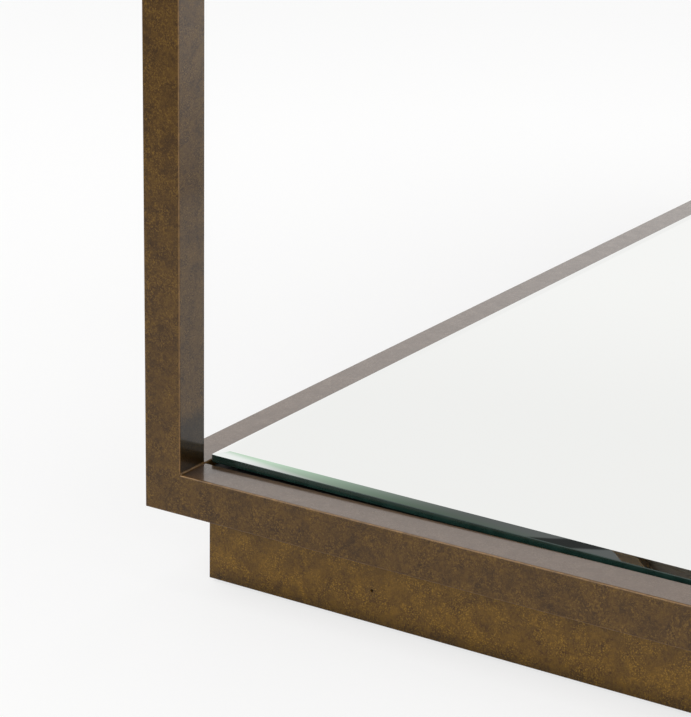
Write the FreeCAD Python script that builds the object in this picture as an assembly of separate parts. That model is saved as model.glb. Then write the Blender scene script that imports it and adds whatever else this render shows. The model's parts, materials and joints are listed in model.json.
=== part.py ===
"""Vanity table with mirror: a welded square-tube frame on a recessed plinth.

A bevelled mirror shelf lies in the base frame and a second one makes the table top.
Two drawers run in the case under the top, and a framed mirror tilts between two uprights.
Millimetres. X runs along the table, the front faces -Y, Z is up, the floor is Z = 0.
The origin is on the floor under the middle of the table.
"""
import FreeCAD
import Part
import math
import os

V = FreeCAD.Vector

# Driving dimensions: the whole table
TABLE_LENGTH = 1100.0
TABLE_DEPTH = 450.0
TABLE_HEIGHT = 760.0

# Frame tube
TUBE = 25.0
TUBE_WALL = 1.5
TUBE_EDGE_RADIUS = 1.0
VENT_RADIUS = 3.0

# Plinth, which stands just inside the rails on all four sides
PLINTH_SHOWING = 50.0
PLINTH_END_FIT = 1.0
PLINTH_SIDE_FIT = 3.0
PLINTH_WIDTH = 25.0
PLINTH_WALL = 1.5
PLINTH_PINHOLE_RADIUS = 0.9
PLINTH_PINHOLE_FROM_BACK = 113.0
PLINTH_PINHOLE_HEIGHT = 22.0
FLOOR_PAD = 2.0
FLOOR_PAD_RADIUS = 10.0
FLOOR_PAD_FROM_CORNER = 60.0

# Bevelled mirror panels of the shelf and the top
PANEL_GLASS = 6.0
PANEL_BEVEL = 8.0
PANEL_BEVEL_DROP = 1.4
PANEL_GAP = 3.0
PANEL_SINK = 1.0
PAD_THICKNESS = 3.0
PAD_RADIUS = 9.0
PAD_FROM_EDGE = 45.0
BOARD = 8.0
BOARD_CLEARANCE = 1.0
LEDGE_WIDTH = 16.0
LEDGE = 3.0

# Drawer case between the top rails and the apron rails
CASE_OPENING_HEIGHT = 85.0
PANEL_RECESS = 4.0
CASE_BOTTOM = 8.0
DIVIDER = 12.0

# Drawers
DRAWER_REVEAL = 2.0
DRAWER_FACE_RECESS = 20.0
DRAWER_FACE_GLASS = 4.0
DRAWER_FACE_BEVEL = 10.0
DRAWER_FACE_BEVEL_DROP = 1.2
DRAWER_FRONT_BOARD = 18.0
DRAWER_SIDE = 12.0
DRAWER_TOP_CLEARANCE = 15.0
DRAWER_BOTTOM = 6.0
DRAWER_BACK_CLEARANCE = 23.0
DRAWER_FLOOR_CLEARANCE = 8.0

# Drawer slides: a channel on the case and a bar on the drawer
SLIDE = 12.7
SLIDE_HEIGHT = 36.0
SLIDE_SHEET = 1.4
SLIDE_CLEARANCE = 0.5
SLIDE_SETBACK = 10.0

# Drawer knob
KNOB_RADIUS = 9.0
KNOB_NECK_RADIUS = 4.5
KNOB_FLANGE_RADIUS = 7.5
KNOB_FLANGE = 2.0
KNOB_LENGTH = 18.0
KNOB_HEAD = 9.0
KNOB_HEAD_CONE = 2.2
KNOB_DOME = 3.0
KNOB_STUD_RADIUS = 2.0
KNOB_STUD_HOLE_RADIUS = 2.3

# Tilting mirror over the back rail
MIRROR_WIDTH = 600.0
MIRROR_HEIGHT = 480.0
MIRROR_TUBE = 20.0
MIRROR_TUBE_WALL = 1.5
MIRROR_GLASS = 4.0
MIRROR_BEVEL = 14.0
MIRROR_BEVEL_DROP = 1.4
MIRROR_LIP = 6.0
MIRROR_FRONT_LIP = 3.0
MIRROR_BACK_BOARD = 4.0
MIRROR_FIT = 0.5
MIRROR_ABOVE_TOP = 50.0

# Uprights, their foot plates and screws
UPRIGHT = 20.0
UPRIGHT_WALL = 2.0
UPRIGHT_ABOVE_PIVOT = 26.0
UPRIGHT_GAP = 6.0
FOOT_PLATE = 4.0
FOOT_PLATE_LENGTH = 64.0
FOOT_SCREW_RADIUS = 2.5
FOOT_SCREW_HEAD_RADIUS = 4.6
FOOT_SCREW_HEAD = 2.4
FOOT_SCREW_LENGTH = 9.0
FOOT_SCREW_FROM_END = 9.0

# Tilt pivots
PIVOT_RADIUS = 4.0
PIVOT_CLEARANCE = 0.05
PIVOT_COLLAR_RADIUS = 9.0
PIVOT_SIDE_PLAY = 0.2
PIVOT_KNOB_RADIUS = 12.0
PIVOT_KNOB = 13.0

# Places worked out from the driving dimensions
HALF_LENGTH = TABLE_LENGTH / 2
HALF_DEPTH = TABLE_DEPTH / 2
BASE_TOP = PLINTH_SHOWING + TUBE
PLINTH_HALF_LENGTH = HALF_LENGTH - TUBE - PLINTH_END_FIT
PLINTH_HALF_DEPTH = HALF_DEPTH - TUBE - PLINTH_SIDE_FIT
TOP_RAIL_BOTTOM = TABLE_HEIGHT - TUBE
APRON_TOP = TOP_RAIL_BOTTOM - CASE_OPENING_HEIGHT
APRON_BOTTOM = APRON_TOP - TUBE
INSIDE_X = HALF_LENGTH - TUBE
INSIDE_Y = HALF_DEPTH - TUBE
BACK_RAIL_Y = HALF_DEPTH - TUBE / 2
UPRIGHT_X = MIRROR_WIDTH / 2 + UPRIGHT_GAP + UPRIGHT / 2
PIVOT_Z = TABLE_HEIGHT + MIRROR_ABOVE_TOP + MIRROR_HEIGHT / 2

SIDES = {"left": -1, "right": 1}
ENDS = {"front": -1, "back": 1}
RAIL_BOTTOMS = {"base": PLINTH_SHOWING, "apron": APRON_BOTTOM, "top": TOP_RAIL_BOTTOM}

# The bay of the right-hand drawer; the left-hand one mirrors it
BAY_NEAR = DIVIDER / 2
BAY_WIDTH = INSIDE_X - BAY_NEAR
BAY_MIDDLE = (BAY_NEAR + INSIDE_X) / 2

# Drawer pieces
FACE_Y = -HALF_DEPTH + DRAWER_FACE_RECESS
FRONT_BOARD_Y = FACE_Y + DRAWER_FACE_GLASS
FRONT_HALF = BAY_WIDTH / 2 - DRAWER_REVEAL
FRONT_BOTTOM = APRON_TOP + DRAWER_REVEAL
FRONT_TOP = TOP_RAIL_BOTTOM - DRAWER_REVEAL
FRONT_MIDDLE = (FRONT_BOTTOM + FRONT_TOP) / 2
BOX_FRONT_Y = FRONT_BOARD_Y + DRAWER_FRONT_BOARD
BOX_BACK_Y = INSIDE_Y - DRAWER_BACK_CLEARANCE
BOX_HALF = BAY_WIDTH / 2 - SLIDE
BOX_BOTTOM = APRON_TOP + DRAWER_FLOOR_CLEARANCE
BOX_TOP = TOP_RAIL_BOTTOM - DRAWER_TOP_CLEARANCE
SLIDE_MIDDLE = (BOX_BOTTOM + BOX_TOP) / 2


def block(low, high):
    """A box from its lowest to its highest corner."""
    return Part.makeBox(high[0] - low[0], high[1] - low[1], high[2] - low[2], V(*low))


def cylinder(radius, length, at, along):
    """A cylinder that starts at a point and runs along a direction."""
    return Part.makeCylinder(radius, length, V(*at), V(*along))


def rounded_block(low, high, axis, radius):
    """A box whose four edges along one axis (0, 1 or 2) are rounded."""
    body = block(low, high)
    long_edges = []
    for edge in body.Edges:
        start, end = (vertex.Point for vertex in edge.Vertexes)
        if abs(abs((end - start)[axis]) - edge.Length) < 1e-6:
            long_edges.append(edge)
    return body.makeFillet(radius, long_edges)


def tube(low, high, axis, wall, radius, closed=False):
    """A rectangular tube along one axis, with open ends or welded end plates."""
    inner_low = [value + wall for value in low]
    inner_high = [value - wall for value in high]
    if not closed:
        inner_low[axis] = low[axis]
        inner_high[axis] = high[axis]
    return rounded_block(low, high, axis, radius).cut(block(inner_low, inner_high))


def prism(outline, bottom, top):
    """A flat outline in X and Y raised between two heights."""
    points = [V(x, y, bottom) for x, y in outline]
    face = Part.Face(Part.makePolygon(points + points[:1]))
    return face.extrude(V(0, 0, top - bottom))


def mitred_side(half_x, half_y, width, wall, bottom, top, long_way, sign):
    """One hollow side of a rectangular ring whose corners are mitred."""

    def trapezium(outer_step, inner_step):
        out_x, out_y = half_x - outer_step, half_y - outer_step
        in_x, in_y = half_x - inner_step, half_y - inner_step
        if long_way:
            out_y, in_y = sign * out_y, sign * in_y
            return [(-out_x, out_y), (out_x, out_y), (in_x, in_y), (-in_x, in_y)]
        out_x, in_x = sign * out_x, sign * in_x
        return [(out_x, -out_y), (out_x, out_y), (in_x, in_y), (in_x, -in_y)]

    outside = prism(trapezium(0, width), bottom, top)
    return outside.cut(prism(trapezium(wall, width - wall), bottom + wall, top - wall))


def bevelled_panel(half_x, half_y, thickness, bevel, drop):
    """A glass panel centred on Z, its back at Z = 0, with a ground bevel round its face."""

    def outline(step, height):
        x, y = half_x - step, half_y - step
        corners = [V(-x, -y, height), V(x, -y, height), V(x, y, height), V(-x, y, height)]
        return Part.makePolygon(corners + corners[:1])

    shoulder = thickness - drop
    flat = block((-half_x, -half_y, 0), (half_x, half_y, shoulder))
    crown = Part.makeLoft([outline(0, shoulder), outline(bevel, thickness)], True, True)
    return flat.fuse(crown).removeSplitter()


def moved(shape, x=0.0, y=0.0, z=0.0):
    copy = shape.copy()
    copy.translate(V(x, y, z))
    return copy


def facing_front(shape):
    """Turns a panel whose face looks up so that it looks to -Y."""
    copy = shape.copy()
    copy.rotate(V(0, 0, 0), V(1, 0, 0), 90)
    return copy


def group(solids):
    return Part.makeCompound(solids)


def plinth_side(name):
    """One mitred side of the plinth, from the floor pads up to the shelf's ledges."""
    half_x, half_y = PLINTH_HALF_LENGTH, PLINTH_HALF_DEPTH
    long_way = name in ENDS
    sign = ENDS[name] if long_way else SIDES[name]
    top = panel_levels(BASE_TOP)[3]
    side = mitred_side(half_x, half_y, PLINTH_WIDTH, PLINTH_WALL, FLOOR_PAD, top, long_way, sign)
    if name == "left":
        start = (-half_x - PLINTH_WALL, half_y - PLINTH_PINHOLE_FROM_BACK, PLINTH_PINHOLE_HEIGHT)
        side = side.cut(cylinder(PLINTH_PINHOLE_RADIUS, 3 * PLINTH_WALL, start, (1, 0, 0)))
    return side


def floor_pads():
    """Felt discs under the plinth, two along each long side."""
    across = PLINTH_HALF_DEPTH - PLINTH_WIDTH / 2
    along = PLINTH_HALF_LENGTH - FLOOR_PAD_FROM_CORNER
    pads = []
    for x in (-along, along):
        for y in (-across, across):
            pads.append(cylinder(FLOOR_PAD_RADIUS, FLOOR_PAD, (x, y, 0), (0, 0, 1)))
    return group(pads)


def post(side, end):
    """A corner post with both ends plated, and the vent hole that a welded tube needs."""
    x_far, y_far = side * HALF_LENGTH, end * HALF_DEPTH
    x_near, y_near = side * INSIDE_X, end * INSIDE_Y
    low = (min(x_far, x_near), min(y_far, y_near), PLINTH_SHOWING)
    high = (max(x_far, x_near), max(y_far, y_near), TABLE_HEIGHT)
    body = tube(low, high, 2, TUBE_WALL, TUBE_EDGE_RADIUS, closed=True)
    body = body.fuse(ground_welds(side, end)).removeSplitter()
    body = body.common(rounded_ends(low, high, x_far, y_far))
    centre = ((x_far + x_near) / 2, (y_far + y_near) / 2, PLINTH_SHOWING - TUBE_WALL)
    return body.cut(cylinder(VENT_RADIUS, 3 * TUBE_WALL, centre, (0, 0, 1)))


def rounded_ends(low, high, x_far, y_far):
    """The post's outline with its outer edges rounded at both ends, in line with the rails' edges."""
    outline = block(low, high)
    edges = []
    for edge in outline.Edges:
        first, last = edge.Vertexes
        level = abs(first.Z - last.Z) < 1e-6
        outer = all(abs(v.X - x_far) < 1e-6 for v in (first, last)) or all(abs(v.Y - y_far) < 1e-6 for v in (first, last))
        if level and outer:
            edges.append(edge)
    return outline.makeFillet(TUBE_EDGE_RADIUS, edges)


def ground_welds(side, end):
    """Weld metal that squares the post's rounded edges where rails meet it, ground flush with them."""
    fills = []
    corners = [(INSIDE_X, HALF_DEPTH, 1, -1), (HALF_LENGTH, INSIDE_Y, -1, 1), (INSIDE_X, INSIDE_Y, 1, 1)]
    for bottom in RAIL_BOTTOMS.values():
        for x, y, x_step, y_step in corners:
            xs = sorted((side * x, side * (x + x_step * TUBE_EDGE_RADIUS)))
            ys = sorted((end * y, end * (y + y_step * TUBE_EDGE_RADIUS)))
            fills.append(block((xs[0], ys[0], bottom), (xs[1], ys[1], bottom + TUBE)))
    return fills


def long_rail(end, bottom):
    """A rail along X between two posts."""
    near, far = sorted((end * INSIDE_Y, end * HALF_DEPTH))
    low, high = (-INSIDE_X, near, bottom), (INSIDE_X, far, bottom + TUBE)
    return tube(low, high, 0, TUBE_WALL, TUBE_EDGE_RADIUS)


def short_rail(side, bottom):
    """A rail along Y between two posts."""
    near, far = sorted((side * INSIDE_X, side * HALF_LENGTH))
    low, high = (near, -INSIDE_Y, bottom), (far, INSIDE_Y, bottom + TUBE)
    return tube(low, high, 1, TUBE_WALL, TUBE_EDGE_RADIUS)


def panel_levels(frame_top):
    """Heights of a mirror panel's back, its board's top and underside, and its ledge's underside."""
    glass_back = frame_top - PANEL_SINK
    board_top = glass_back - PAD_THICKNESS
    board_bottom = board_top - BOARD
    return glass_back, board_top, board_bottom, board_bottom - LEDGE


def ledges(frame_top):
    """Flat bars welded inside the four rails, which carry the board."""
    bottom, top = panel_levels(frame_top)[3], panel_levels(frame_top)[2]
    bars = []
    for end in ENDS.values():
        near, far = sorted((end * (INSIDE_Y - LEDGE_WIDTH), end * INSIDE_Y))
        bars.append(block((-INSIDE_X, near, bottom), (INSIDE_X, far, top)))
    for side in SIDES.values():
        near, far = sorted((side * (INSIDE_X - LEDGE_WIDTH), side * INSIDE_X))
        bars.append(block((near, LEDGE_WIDTH - INSIDE_Y, bottom), (far, INSIDE_Y - LEDGE_WIDTH, top)))
    return group(bars)


def board(frame_top):
    bottom, top = panel_levels(frame_top)[2], panel_levels(frame_top)[1]
    x, y = INSIDE_X - BOARD_CLEARANCE, INSIDE_Y - BOARD_CLEARANCE
    return block((-x, -y, bottom), (x, y, top))


def panel_pads(frame_top):
    """Clear bumpers between the board and the mirror panel, three along each long side."""
    base = panel_levels(frame_top)[1]
    x_far = INSIDE_X - PANEL_GAP - PAD_FROM_EDGE
    y_far = INSIDE_Y - PANEL_GAP - PAD_FROM_EDGE
    pads = []
    for x in (-x_far, 0, x_far):
        for y in (-y_far, y_far):
            pads.append(cylinder(PAD_RADIUS, PAD_THICKNESS, (x, y, base), (0, 0, 1)))
    return group(pads)


def mirror_panel(frame_top):
    half_x, half_y = INSIDE_X - PANEL_GAP, INSIDE_Y - PANEL_GAP
    panel = bevelled_panel(half_x, half_y, PANEL_GLASS, PANEL_BEVEL, PANEL_BEVEL_DROP)
    return moved(panel, z=panel_levels(frame_top)[0])


def side_panel(side):
    near, far = sorted((side * INSIDE_X, side * (HALF_LENGTH - PANEL_RECESS)))
    return block((near, -INSIDE_Y, APRON_TOP), (far, INSIDE_Y, TOP_RAIL_BOTTOM))


def back_panel():
    low = (-INSIDE_X, INSIDE_Y, APRON_TOP)
    return block(low, (INSIDE_X, HALF_DEPTH - PANEL_RECESS, TOP_RAIL_BOTTOM))


def case_bottom():
    low = (-INSIDE_X, -INSIDE_Y, APRON_TOP - CASE_BOTTOM)
    return block(low, (INSIDE_X, INSIDE_Y, APRON_TOP))


def case_divider():
    """The upright board between the two drawers, its front edge level with their faces."""
    return block((-DIVIDER / 2, FACE_Y, APRON_TOP), (DIVIDER / 2, INSIDE_Y, TOP_RAIL_BOTTOM))


def knob_hole(middle):
    """The hole for the knob's stud, through the drawer's glass face and front board."""
    start = (middle, FACE_Y - 1, FRONT_MIDDLE)
    depth = DRAWER_FACE_GLASS + DRAWER_FRONT_BOARD + 2
    return cylinder(KNOB_STUD_HOLE_RADIUS, depth, start, (0, 1, 0))


def drawer_pieces(middle):
    """The wooden pieces, glass face, knob and slide bars of the drawer centred on this X."""
    low_x, high_x = middle - FRONT_HALF, middle + FRONT_HALF
    front = block((low_x, FRONT_BOARD_Y, FRONT_BOTTOM), (high_x, BOX_FRONT_Y, FRONT_TOP))
    half_height = (FRONT_TOP - FRONT_BOTTOM) / 2
    glass = bevelled_panel(FRONT_HALF, half_height, DRAWER_FACE_GLASS, DRAWER_FACE_BEVEL, DRAWER_FACE_BEVEL_DROP)
    glass = moved(facing_front(glass), middle, FRONT_BOARD_Y, FRONT_MIDDLE)
    inner = BOX_HALF - DRAWER_SIDE
    low_x, high_x = middle - inner, middle + inner
    floor_top = BOX_BOTTOM + DRAWER_BOTTOM
    pieces = {
        "front": front.cut(knob_hole(middle)),
        "mirror_face": glass.cut(knob_hole(middle)),
        "back": block((low_x, BOX_BACK_Y - DRAWER_SIDE, floor_top), (high_x, BOX_BACK_Y, BOX_TOP)),
        "bottom": block((low_x, BOX_FRONT_Y, BOX_BOTTOM), (high_x, BOX_BACK_Y, floor_top)),
        "knob": drawer_knob(middle),
        "slide_bars": group([slide_bar(middle, side) for side in SIDES.values()]),
    }
    for name, side in SIDES.items():
        near, far = sorted((middle + side * inner, middle + side * BOX_HALF))
        pieces["side_" + name] = block((near, BOX_FRONT_Y, BOX_BOTTOM), (far, BOX_BACK_Y, BOX_TOP))
    return pieces


def drawer_knob(middle):
    """A turned knob: flange, neck, domed head, and the stud behind it."""
    neck_end = KNOB_LENGTH - KNOB_HEAD
    stud_end = DRAWER_FACE_GLASS + DRAWER_FRONT_BOARD
    rim = KNOB_LENGTH - KNOB_DOME
    dome_radius = (KNOB_RADIUS ** 2 + KNOB_DOME ** 2) / (2 * KNOB_DOME)
    half_turn = math.asin(KNOB_RADIUS / dome_radius) / 2
    lower = [
        V(0, -stud_end, 0), V(KNOB_STUD_RADIUS, -stud_end, 0), V(KNOB_STUD_RADIUS, 0, 0),
        V(KNOB_FLANGE_RADIUS, 0, 0), V(KNOB_FLANGE_RADIUS, KNOB_FLANGE, 0),
        V(KNOB_NECK_RADIUS, KNOB_FLANGE, 0), V(KNOB_NECK_RADIUS, neck_end, 0),
        V(KNOB_RADIUS, neck_end + KNOB_HEAD_CONE, 0), V(KNOB_RADIUS, rim, 0),
    ]
    edges = [Part.LineSegment(a, b).toShape() for a, b in zip(lower, lower[1:])]
    crown = V(0, KNOB_LENGTH, 0)
    centre = KNOB_LENGTH - dome_radius
    shoulder = V(dome_radius * math.sin(half_turn), centre + dome_radius * math.cos(half_turn), 0)
    edges.append(Part.Arc(lower[-1], shoulder, crown).toShape())
    edges.append(Part.LineSegment(crown, lower[0]).toShape())
    turned = Part.Face(Part.Wire(edges)).revolve(V(0, 0, 0), V(0, 1, 0), 360)
    turned.rotate(V(0, 0, 0), V(0, 0, 1), 180)
    return moved(turned, middle, FACE_Y, FRONT_MIDDLE)


def slide_channel(middle, side):
    """The fixed half of a slide: a C channel screwed to the case or the divider."""
    wall_x = middle + side * BAY_WIDTH / 2
    mouth_x = wall_x - side * (SLIDE - SLIDE_SHEET)
    body = slide_stock(wall_x, mouth_x, SLIDE_HEIGHT / 2)
    inside = slide_stock(wall_x - side * SLIDE_SHEET, mouth_x - side, SLIDE_HEIGHT / 2 - SLIDE_SHEET)
    return body.cut(inside)


def slide_bar(middle, side):
    """The moving half of a slide: a bar on the drawer's side that runs in the channel."""
    root_x = middle + side * BOX_HALF
    tip_x = middle + side * (BAY_WIDTH / 2 - SLIDE_SHEET - SLIDE_CLEARANCE)
    return slide_stock(root_x, tip_x, SLIDE_HEIGHT / 2 - SLIDE_SHEET - SLIDE_CLEARANCE)


def slide_stock(one_x, other_x, half_height):
    """A block as long as the slides, between two places in X."""
    low_x, high_x = sorted((one_x, other_x))
    low = (low_x, BOX_FRONT_Y, SLIDE_MIDDLE - half_height)
    return block(low, (high_x, BOX_BACK_Y - SLIDE_SETBACK, SLIDE_MIDDLE + half_height))


def lips():
    """Four flat bars inside the mirror frame's face, which the glass lies behind."""
    bottom, top = MIRROR_TUBE - MIRROR_FRONT_LIP, MIRROR_TUBE
    x, y = MIRROR_WIDTH / 2 - MIRROR_TUBE, MIRROR_HEIGHT / 2 - MIRROR_TUBE
    bars = []
    for sign in (-1, 1):
        near, far = sorted((sign * (y - MIRROR_LIP), sign * y))
        bars.append(block((-x, near, bottom), (x, far, top)))
        near, far = sorted((sign * (x - MIRROR_LIP), sign * x))
        bars.append(block((near, MIRROR_LIP - y, bottom), (far, y - MIRROR_LIP, top)))
    return bars


def stand_up(shape):
    """Puts a piece of the mirror, drawn lying face up, in its place over the back rail."""
    return moved(facing_front(shape), 0, BACK_RAIL_Y + MIRROR_TUBE / 2, PIVOT_Z)


def mirror_frame_piece(name):
    long_way = name in ("top", "bottom")
    sign = 1 if name in ("top", "right") else -1
    half_x, half_y = MIRROR_WIDTH / 2, MIRROR_HEIGHT / 2
    side = mitred_side(half_x, half_y, MIRROR_TUBE, MIRROR_TUBE_WALL, 0, MIRROR_TUBE, long_way, sign)
    piece = stand_up(side)
    if not long_way:
        start = (sign * (half_x - MIRROR_TUBE_WALL - 1), BACK_RAIL_Y, PIVOT_Z)
        piece = piece.cut(cylinder(PIVOT_RADIUS, MIRROR_TUBE_WALL + 2, start, (sign, 0, 0)))
    return piece


def mirror_glass():
    x = MIRROR_WIDTH / 2 - MIRROR_TUBE - MIRROR_FIT
    y = MIRROR_HEIGHT / 2 - MIRROR_TUBE - MIRROR_FIT
    glass = bevelled_panel(x, y, MIRROR_GLASS, MIRROR_BEVEL, MIRROR_BEVEL_DROP)
    return stand_up(moved(glass, z=MIRROR_TUBE - MIRROR_FRONT_LIP - MIRROR_GLASS))


def mirror_back_board():
    x = MIRROR_WIDTH / 2 - MIRROR_TUBE
    y = MIRROR_HEIGHT / 2 - MIRROR_TUBE
    top = MIRROR_TUBE - MIRROR_FRONT_LIP - MIRROR_GLASS
    return stand_up(block((-x, -y, top - MIRROR_BACK_BOARD), (x, y, top)))


def upright(side):
    """A plated tube on the back rail, bored across for the tilt pivot."""
    x = side * UPRIGHT_X
    half = UPRIGHT / 2
    low = (x - half, BACK_RAIL_Y - half, TABLE_HEIGHT + FOOT_PLATE)
    high = (x + half, BACK_RAIL_Y + half, PIVOT_Z + UPRIGHT_ABOVE_PIVOT)
    body = tube(low, high, 2, UPRIGHT_WALL, TUBE_EDGE_RADIUS, closed=True)
    body = body.cut(cylinder(VENT_RADIUS, 3 * UPRIGHT_WALL, (x, BACK_RAIL_Y, low[2] - 1), (0, 0, 1)))
    start = (low[0] - 1, BACK_RAIL_Y, PIVOT_Z)
    return body.cut(cylinder(PIVOT_RADIUS + PIVOT_CLEARANCE, UPRIGHT + 2, start, (1, 0, 0)))


def foot_screw_places():
    reach = FOOT_PLATE_LENGTH / 2 - FOOT_SCREW_FROM_END
    return [side * UPRIGHT_X + step for side in SIDES.values() for step in (-reach, reach)]


def foot_plates():
    """The plates under the uprights, drilled for their screws."""
    plates = []
    for side in SIDES.values():
        x = side * UPRIGHT_X
        low = (x - FOOT_PLATE_LENGTH / 2, BACK_RAIL_Y - UPRIGHT / 2, TABLE_HEIGHT)
        high = (x + FOOT_PLATE_LENGTH / 2, BACK_RAIL_Y + UPRIGHT / 2, TABLE_HEIGHT + FOOT_PLATE)
        plate = block(low, high)
        for hole_x in foot_screw_places():
            start = (hole_x, BACK_RAIL_Y, TABLE_HEIGHT - 1)
            plate = plate.cut(cylinder(FOOT_SCREW_RADIUS, FOOT_PLATE + 2, start, (0, 0, 1)))
        plates.append(plate)
    return group(plates)


def foot_screws():
    """Screws through the foot plates into the back rail's upper wall."""
    down = (0, 0, -1)
    screws = []
    for x in foot_screw_places():
        head_top = (x, BACK_RAIL_Y, TABLE_HEIGHT + FOOT_PLATE + FOOT_SCREW_HEAD)
        shank = cylinder(FOOT_SCREW_RADIUS, FOOT_SCREW_LENGTH + FOOT_SCREW_HEAD, head_top, down)
        head = cylinder(FOOT_SCREW_HEAD_RADIUS, FOOT_SCREW_HEAD, head_top, down)
        screws.append(shank.fuse(head).removeSplitter())
    return group(screws)


def back_top_rail():
    """The top rail that carries the uprights, with its screw holes."""
    rail = long_rail(ENDS["back"], TOP_RAIL_BOTTOM)
    for x in foot_screw_places():
        start = (x, BACK_RAIL_Y, TABLE_HEIGHT + 1)
        rail = rail.cut(cylinder(FOOT_SCREW_RADIUS, 2 * TUBE_WALL, start, (0, 0, -1)))
    return rail


def pivots():
    """Pins fixed in the mirror frame, with a collar inside each upright and a hand knob outside."""
    pins = []
    for side in SIDES.values():
        frame_x = side * MIRROR_WIDTH / 2
        root = (frame_x - side * MIRROR_TUBE_WALL, BACK_RAIL_Y, PIVOT_Z)
        outer_x = side * (UPRIGHT_X + UPRIGHT / 2 + PIVOT_SIDE_PLAY)
        along = (side, 0, 0)
        pin = cylinder(PIVOT_RADIUS, abs(outer_x - root[0]) + PIVOT_KNOB / 2, root, along)
        collar_start = (frame_x, BACK_RAIL_Y, PIVOT_Z)
        collar = cylinder(PIVOT_COLLAR_RADIUS, UPRIGHT_GAP - PIVOT_SIDE_PLAY, collar_start, along)
        knob = cylinder(PIVOT_KNOB_RADIUS, PIVOT_KNOB, (outer_x, BACK_RAIL_Y, PIVOT_Z), along)
        pins.append(pin.fuse([collar, knob]).removeSplitter())
    return group(pins)


def build():
    """Every sub-part by name."""
    nodes = {}
    for name in list(ENDS) + list(SIDES):
        nodes["plinth_" + name] = plinth_side(name)
    nodes["floor_pads"] = floor_pads()
    for end_name, end in ENDS.items():
        for side_name, side in SIDES.items():
            nodes[f"post_{end_name}_{side_name}"] = post(side, end)
    for level, bottom in RAIL_BOTTOMS.items():
        for end_name, end in ENDS.items():
            nodes[f"{level}_rail_{end_name}"] = long_rail(end, bottom)
        for side_name, side in SIDES.items():
            nodes[f"{level}_rail_{side_name}"] = short_rail(side, bottom)
    nodes["top_rail_back"] = back_top_rail()
    for level, frame_top in (("shelf", BASE_TOP), ("top", TABLE_HEIGHT)):
        nodes[level + "_ledges"] = ledges(frame_top)
        nodes[level + "_board"] = board(frame_top)
        nodes[level + "_pads"] = panel_pads(frame_top)
        nodes[level + "_mirror"] = mirror_panel(frame_top)
    for side_name, side in SIDES.items():
        nodes["case_panel_" + side_name] = side_panel(side)
    nodes["case_panel_back"] = back_panel()
    nodes["case_bottom"] = case_bottom()
    nodes["case_divider"] = case_divider()
    channels = []
    for side_name, side in SIDES.items():
        middle = side * BAY_MIDDLE
        channels += [slide_channel(middle, wall) for wall in SIDES.values()]
        for piece_name, shape in drawer_pieces(middle).items():
            nodes[f"drawer_{side_name}_{piece_name}"] = shape
    nodes["slide_channels"] = group(channels)
    frame_pieces = [mirror_frame_piece(name) for name in ("top", "bottom", "left", "right")]
    nodes["mirror_frame"] = group(frame_pieces + [stand_up(bar) for bar in lips()])
    nodes["mirror_glass"] = mirror_glass()
    nodes["mirror_back_board"] = mirror_back_board()
    nodes["mirror_pivots"] = pivots()
    for side_name, side in SIDES.items():
        nodes["upright_" + side_name] = upright(side)
    nodes["upright_foot_plates"] = foot_plates()
    nodes["upright_foot_screws"] = foot_screws()
    return nodes


def main():
    os.makedirs("parts", exist_ok=True)
    nodes = build()
    for name, shape in nodes.items():
        shape.exportStep(f"parts/{name}.step")
    print(len(nodes), "sub-parts")


main()
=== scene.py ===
import bpy
import bmesh
import json
import math
from mathutils import Matrix, Vector, noise


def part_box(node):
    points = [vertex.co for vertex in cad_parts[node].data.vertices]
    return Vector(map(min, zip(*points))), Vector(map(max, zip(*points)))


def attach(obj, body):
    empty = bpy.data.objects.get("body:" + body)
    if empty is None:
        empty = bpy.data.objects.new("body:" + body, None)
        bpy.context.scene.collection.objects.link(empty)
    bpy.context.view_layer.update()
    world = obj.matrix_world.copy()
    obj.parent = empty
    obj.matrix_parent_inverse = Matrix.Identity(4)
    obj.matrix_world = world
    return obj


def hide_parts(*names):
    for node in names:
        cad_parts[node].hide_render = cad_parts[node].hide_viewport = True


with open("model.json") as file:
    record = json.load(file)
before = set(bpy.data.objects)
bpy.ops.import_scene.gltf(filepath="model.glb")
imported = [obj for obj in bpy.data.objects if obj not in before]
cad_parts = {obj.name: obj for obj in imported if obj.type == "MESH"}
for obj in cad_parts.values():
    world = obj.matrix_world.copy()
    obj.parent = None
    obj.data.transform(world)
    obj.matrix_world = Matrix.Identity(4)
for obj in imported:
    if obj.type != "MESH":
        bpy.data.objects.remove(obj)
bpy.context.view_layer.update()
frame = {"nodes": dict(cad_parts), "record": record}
print("frame loaded:", len(frame["nodes"]), "nodes")

scene = bpy.context.scene
nodes = frame["nodes"]
mm = 0.001


def addNode(tree, kind, x=0, y=0, **settings):
    node = tree.nodes.new(kind)
    node.location = (x, y)
    for name, value in settings.items():
        setattr(node, name, value)
    return node


def wire(tree, source, target):
    tree.links.new(source, target)


def makeGroup(name, inputs, outputs):
    # a shader node group with named sockets; a default makes a number input, None makes a vector input
    tree = bpy.data.node_groups.new(name, "ShaderNodeTree")
    for label, default in inputs.items():
        kind = "NodeSocketVector" if default is None else "NodeSocketFloat"
        socket = tree.interface.new_socket(name=label, in_out="INPUT", socket_type=kind)
        if default is not None:
            socket.default_value = default
    for label in outputs:
        tree.interface.new_socket(name=label, in_out="OUTPUT", socket_type="NodeSocketFloat")
    groupIn = addNode(tree, "NodeGroupInput", -1100, 0)
    groupOut = addNode(tree, "NodeGroupOutput", 900, 0)
    return tree, groupIn, groupOut


def mathNode(tree, operation, first, second=None, third=None, x=0, y=0):
    node = addNode(tree, "ShaderNodeMath", x, y, operation=operation)
    for slot, value in enumerate((first, second, third)):
        if value is None:
            continue
        if isinstance(value, (int, float)):
            node.inputs[slot].default_value = value
        else:
            wire(tree, value, node.inputs[slot])
    return node.outputs[0]


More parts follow.
